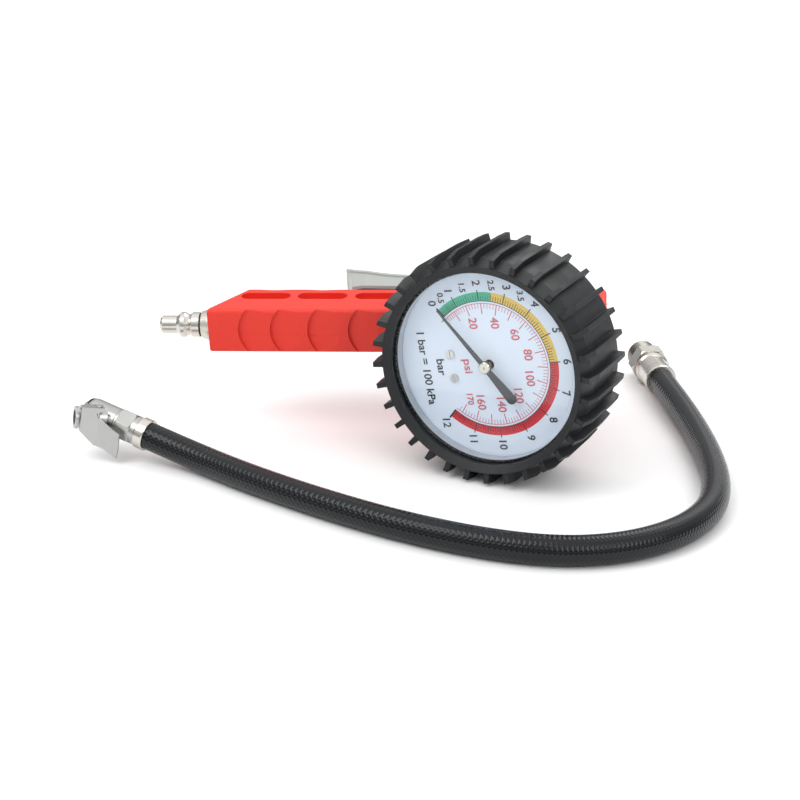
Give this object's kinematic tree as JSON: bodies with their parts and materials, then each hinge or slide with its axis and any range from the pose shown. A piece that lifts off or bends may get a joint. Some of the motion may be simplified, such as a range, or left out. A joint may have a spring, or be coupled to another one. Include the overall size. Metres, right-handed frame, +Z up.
{
  "type": "tyre inflator gun with dial pressure gauge",
  "caption": "Hand inflator gun with a large dial pressure gauge in a ribbed rubber boot, a squeeze trigger, and a loose hose with a threaded end and a clip-on valve chuck.",
  "frame": {"origin": "on the supporting surface, below the centre of the gun and gauge's bounding box (the hose and its fittings left out)", "axes": "+Z up, the gauge dial faces -Y, the gun's nose and outlet point towards +X and its air inlet towards -X"},
  "size_m": [0.331, 0.2802, 0.1207],
  "materials": {
    "black_rubber": "satin",
    "red_rubber": "matt",
    "hose_rubber": "glossy",
    "seal_rubber": "matt",
    "lever_paint": "satin",
    "cast_alloy": "cast",
    "nickel": "polished",
    "steel": "brushed",
    "brass": "machined",
    "case_paint": "satin",
    "dial_face": "matt, printed",
    "pointer_paint": "satin",
    "clear": "clear"
  },
  "bodies": {
    "gun": {"rubber_boot": "black_rubber", "gauge_case": "case_paint", "dial_plate": "dial_face", "dial_screws": "steel", "gauge_lens": "clear", "lens_gasket": "seal_rubber", "gauge_stem": "brass", "bourdon_tube": "brass", "tube_tip": "brass", "movement_back_plate": "brass", "movement_front_plate": "brass", "movement_pillars": "brass", "hairspring": "steel", "stop_pin": "steel", "gauge_neck": "cast_alloy", "valve_body": "cast_alloy", "grip_shell_upper": "red_rubber", "grip_shell_lower": "red_rubber", "shell_screws": "steel", "inlet_nipple": "nickel", "inlet_seal": "seal_rubber", "valve_cap": "brass", "plunger_ring": "seal_rubber", "valve_spring": "steel", "trigger_pin": "steel", "outlet_bush": "nickel"},
    "pointer_set": {"pinion_arbor": "steel", "pointer": "pointer_paint", "pointer_hub": "brass", "pointer_cap": "nickel"},
    "sector": {"sector_gear": "brass"},
    "link": {"tube_link": "steel"},
    "trigger": {"trigger_lever": "lever_paint"},
    "plunger": {"valve_plunger": "brass", "valve_seal": "seal_rubber"},
    "hose_set": {"hose": "hose_rubber", "hose_connector": "nickel", "connector_ferrule": "nickel", "chuck_ferrule": "nickel", "chuck_body": "nickel", "chuck_seal": "seal_rubber", "clip_pin": "steel", "clip_spring": "steel"},
    "chuck_clip": {"clip_lever": "nickel"}
  },
  "joints": [
    {"name": "sector_turn", "type": "hinge", "parent": "gun", "child": "sector", "pos_m": [0.0405, -0.03411, 0.05512], "axis": [0, -1, 0], "range_deg": [0, 26.4]},
    {"name": "pointer_turn", "type": "hinge", "parent": "gun", "child": "pointer_set", "pos_m": [0.06638, -0.04491, 0.06036], "axis": [0, 1, 0], "range_deg": [0, 264]},
    {"name": "link_swing", "type": "hinge", "parent": "sector", "child": "link", "pos_m": [0.03328, -0.03241, 0.05169], "axis": [0, 1, 0], "range_deg": [0, 26.4]},
    {"name": "trigger_squeeze", "type": "hinge", "parent": "gun", "child": "trigger", "pos_m": [0.05271, 0.04969, 0.06317], "axis": [0.0004, -0.0932, 0.9956], "range_deg": [0, 8], "stiffness_Nm_per_rad": 11, "springref_deg": -1.15},
    {"name": "valve_stroke", "type": "slide", "parent": "gun", "child": "plunger", "axis": [0.3597, -0.929, -0.0871], "range_m": [0, 0.0029], "deforming": ["valve_spring"]},
    {"name": "hose_place", "type": "slide", "parent": "gun", "child": "hose_set", "axis": [1, 0, 0], "range_m": [0, 0.08]},
    {"name": "clip_press", "type": "hinge", "parent": "hose_set", "child": "chuck_clip", "pos_m": [-0.1228, -0.11497, 0.02065], "axis": [0.1193, 0.1153, 0.9861], "range_deg": [0, 6], "stiffness_Nm_per_rad": 1.5, "springref_deg": -1.15}
  ],
  "couplings": [
    {"joint": "pointer_turn", "follows": "sector_turn", "ratio": 10},
    {"joint": "link_swing", "follows": "sector_turn", "ratio": 1},
    {"joint": "valve_stroke", "follows": "trigger_squeeze", "m_per_rad": 0.0205}
  ]
}
